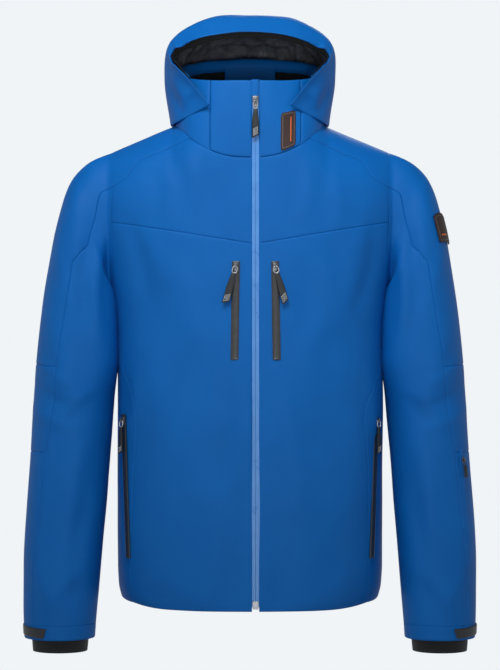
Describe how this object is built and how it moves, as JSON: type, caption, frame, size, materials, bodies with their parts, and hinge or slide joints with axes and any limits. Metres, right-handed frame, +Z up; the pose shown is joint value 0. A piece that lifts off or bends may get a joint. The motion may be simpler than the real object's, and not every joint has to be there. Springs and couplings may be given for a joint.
{
  "type": "ski jacket",
  "caption": "Hooded ski jacket: opening fronts on a centre zip, chest and hand pocket zips, high collar, bending sleeves, cuffs with tabs and a snow skirt.",
  "frame": {"origin": "middle of the neck opening, level with the back neck seam, where a hanger's stem rises through the collar", "axes": "+Z up the body, -Y out of the front, +X towards the wearer's left"},
  "size_m": [0.682, 0.306, 0.9495],
  "materials": {
    "shell_fabric": "matt woven face fabric, laminated and lightly filled",
    "lining_fabric": "thin smooth woven lining",
    "stretch_knit": "ribbed stretch knit and woven ribbon",
    "zip_film": "zip tape with a satin water-resistant film",
    "pocket_film": "zip tape with a satin water-resistant film",
    "rubber_trim": "moulded soft pulls and cuff tabs",
    "badge_leather": "smooth dark leather",
    "slider_metal": "satin plated zip hardware"
  },
  "bodies": {
    "torso": {"side_panel_left": "shell_fabric", "side_panel_right": "shell_fabric", "shoulder_panel_left": "shell_fabric", "shoulder_panel_right": "shell_fabric", "back_panel": "shell_fabric", "back_yoke": "shell_fabric", "body_lining": "lining_fabric", "collar_back": "shell_fabric", "collar_lining": "lining_fabric", "hanger_loop": "stretch_knit", "snow_skirt": "lining_fabric", "hand_left_zip_tape": "pocket_film", "hand_right_zip_tape": "pocket_film"},
    "front_left": {"front_panel_left": "shell_fabric", "front_yoke_left": "shell_fabric", "front_lining_left": "lining_fabric", "collar_front_left": "shell_fabric", "main_zip_tape_left": "zip_film", "chest_left_zip_tape": "pocket_film", "collar_badge": "badge_leather"},
    "front_right": {"front_panel_right": "shell_fabric", "front_yoke_right": "shell_fabric", "front_lining_right": "lining_fabric", "collar_front_right": "shell_fabric", "main_zip_tape_right": "zip_film", "chest_right_zip_tape": "pocket_film", "storm_flap": "shell_fabric", "zip_garage": "shell_fabric"},
    "main_slider": {"main_zip_slider": "slider_metal"},
    "main_pull": {"main_zip_pull_ring": "slider_metal", "main_zip_pull_tab": "rubber_trim"},
    "chest_left_slider": {"chest_left_zip_slider": "slider_metal"},
    "chest_left_pull": {"chest_left_pull_ring": "slider_metal", "chest_left_pull_tab": "rubber_trim"},
    "chest_right_slider": {"chest_right_zip_slider": "slider_metal"},
    "chest_right_pull": {"chest_right_pull_ring": "slider_metal", "chest_right_pull_tab": "rubber_trim"},
    "hand_left_slider": {"hand_left_zip_slider": "slider_metal"},
    "hand_left_pull": {"hand_left_pull_ring": "slider_metal", "hand_left_pull_tab": "rubber_trim"},
    "hand_right_slider": {"hand_right_zip_slider": "slider_metal"},
    "hand_right_pull": {"hand_right_pull_ring": "slider_metal", "hand_right_pull_tab": "rubber_trim"},
    "hood": {"hood_left": "shell_fabric", "hood_right": "shell_fabric", "hood_lining": "lining_fabric", "hood_brim": "shell_fabric"},
    "upper_sleeve_left": {"upper_sleeve_outer_left": "shell_fabric", "upper_sleeve_under_left": "shell_fabric", "arm_badge": "badge_leather"},
    "lower_sleeve_left": {"lower_sleeve_left": "shell_fabric", "inner_cuff_left": "stretch_knit"},
    "cuff_tab_left": {"cuff_tab_left": "rubber_trim"},
    "upper_sleeve_right": {"upper_sleeve_outer_right": "shell_fabric", "upper_sleeve_under_right": "shell_fabric"},
    "lower_sleeve_right": {"lower_sleeve_right": "shell_fabric", "inner_cuff_right": "stretch_knit"},
    "cuff_tab_right": {"cuff_tab_right": "rubber_trim"},
    "sleeve_slider": {"sleeve_zip_slider": "slider_metal"},
    "sleeve_pull": {"sleeve_zip_pull_tab": "rubber_trim"}
  },
  "joints": [
    {"name": "front_left_open", "type": "hinge", "parent": "torso", "child": "front_left", "pos_m": [0.078, -0.093, 0.077], "axis": [-0.1226, 0.0671, 0.9902], "range_deg": [0, 80]},
    {"name": "front_right_open", "type": "hinge", "parent": "torso", "child": "front_right", "pos_m": [-0.062, -0.093, 0.077], "axis": [0.1226, 0.0671, 0.9902], "range_deg": [-80, 0]},
    {"name": "main_zip_slide", "type": "slide", "parent": "front_left", "child": "main_slider", "axis": [0, -0.0718, -0.9974], "range_m": [0, 0.715]},
    {"name": "main_pull_swing", "type": "hinge", "parent": "main_slider", "child": "main_pull", "pos_m": [0.008, -0.10187, 0.04633], "axis": [-1, 0, 0], "range_deg": [0, 130]},
    {"name": "chest_left_zip_slide", "type": "slide", "parent": "front_left", "child": "chest_left_slider", "axis": [0.015, -0.0703, -0.9974], "range_m": [0, 0.122]},
    {"name": "chest_left_pull_swing", "type": "hinge", "parent": "chest_left_slider", "child": "chest_left_pull", "pos_m": [0.03661, -0.11996, -0.19558], "axis": [-0.9618, -0.0375, -0.2713], "range_deg": [0, 130]},
    {"name": "chest_right_zip_slide", "type": "slide", "parent": "front_right", "child": "chest_right_slider", "axis": [-0.015, -0.0713, -0.9973], "range_m": [0, 0.122]},
    {"name": "chest_right_pull_swing", "type": "hinge", "parent": "chest_right_slider", "child": "chest_right_pull", "pos_m": [-0.02061, -0.12048, -0.19557], "axis": [-0.9618, 0.0378, 0.2712], "range_deg": [0, 130]},
    {"name": "hand_left_zip_slide", "type": "slide", "parent": "torso", "child": "hand_left_slider", "axis": [-0.0373, -0.0983, -0.9945], "range_m": [0, 0.185]},
    {"name": "hand_left_pull_swing", "type": "hinge", "parent": "hand_left_slider", "child": "hand_left_pull", "pos_m": [0.18992, -0.06268, -0.42075], "axis": [-0.6896, -0.7237, 0.0273], "range_deg": [0, 130]},
    {"name": "hand_right_zip_slide", "type": "slide", "parent": "torso", "child": "hand_right_slider", "axis": [0.0373, -0.0983, -0.9945], "range_m": [0, 0.185]},
    {"name": "hand_right_pull_swing", "type": "hinge", "parent": "hand_right_slider", "child": "hand_right_pull", "pos_m": [-0.18992, -0.06268, -0.42075], "axis": [-0.6896, 0.7237, -0.0273], "range_deg": [0, 130]},
    {"name": "sleeve_zip_slide", "type": "slide", "parent": "lower_sleeve_left", "child": "sleeve_slider", "axis": [0.0991, -0.0577, -0.9934], "range_m": [0, 0.08]},
    {"name": "sleeve_pull_swing", "type": "hinge", "parent": "sleeve_slider", "child": "sleeve_pull", "pos_m": [0.31663, -0.05776, -0.47894], "axis": [-0.7304, -0.6822, -0.0333], "range_deg": [0, 110]},
    {"name": "hood_fold", "type": "hinge", "parent": "torso", "child": "hood", "pos_m": [0, 0.112, 0.018], "axis": [-1, 0, 0], "range_deg": [0, 110]},
    {"name": "shoulder_left_raise", "type": "hinge", "parent": "torso", "child": "upper_sleeve_left", "pos_m": [0.205, 0.008, -0.026], "axis": [0, -1, 0], "range_deg": [0, 35]},
    {"name": "shoulder_right_raise", "type": "hinge", "parent": "torso", "child": "upper_sleeve_right", "pos_m": [-0.205, 0.008, -0.026], "axis": [0, 1, 0], "range_deg": [0, 35]},
    {"name": "elbow_left_bend", "type": "hinge", "parent": "upper_sleeve_left", "child": "lower_sleeve_left", "pos_m": [0.265, -0.042, -0.4], "axis": [-1, 0, 0], "range_deg": [0, 50]},
    {"name": "elbow_right_bend", "type": "hinge", "parent": "upper_sleeve_right", "child": "lower_sleeve_right", "pos_m": [-0.265, -0.042, -0.4], "axis": [-1, 0, 0], "range_deg": [0, 50]},
    {"name": "cuff_tab_left_lift", "type": "hinge", "parent": "lower_sleeve_left", "child": "cuff_tab_left", "pos_m": [0.297, -0.095, -0.731], "axis": [0, 0, -1], "range_deg": [0, 100]},
    {"name": "cuff_tab_right_lift", "type": "hinge", "parent": "lower_sleeve_right", "child": "cuff_tab_right", "pos_m": [-0.297, -0.095, -0.731], "axis": [0, 0, 1], "range_deg": [0, 100]}
  ],
  "couplings": [
    {"joint": "front_right_open", "follows": "front_left_open", "ratio": -1}
  ]
}
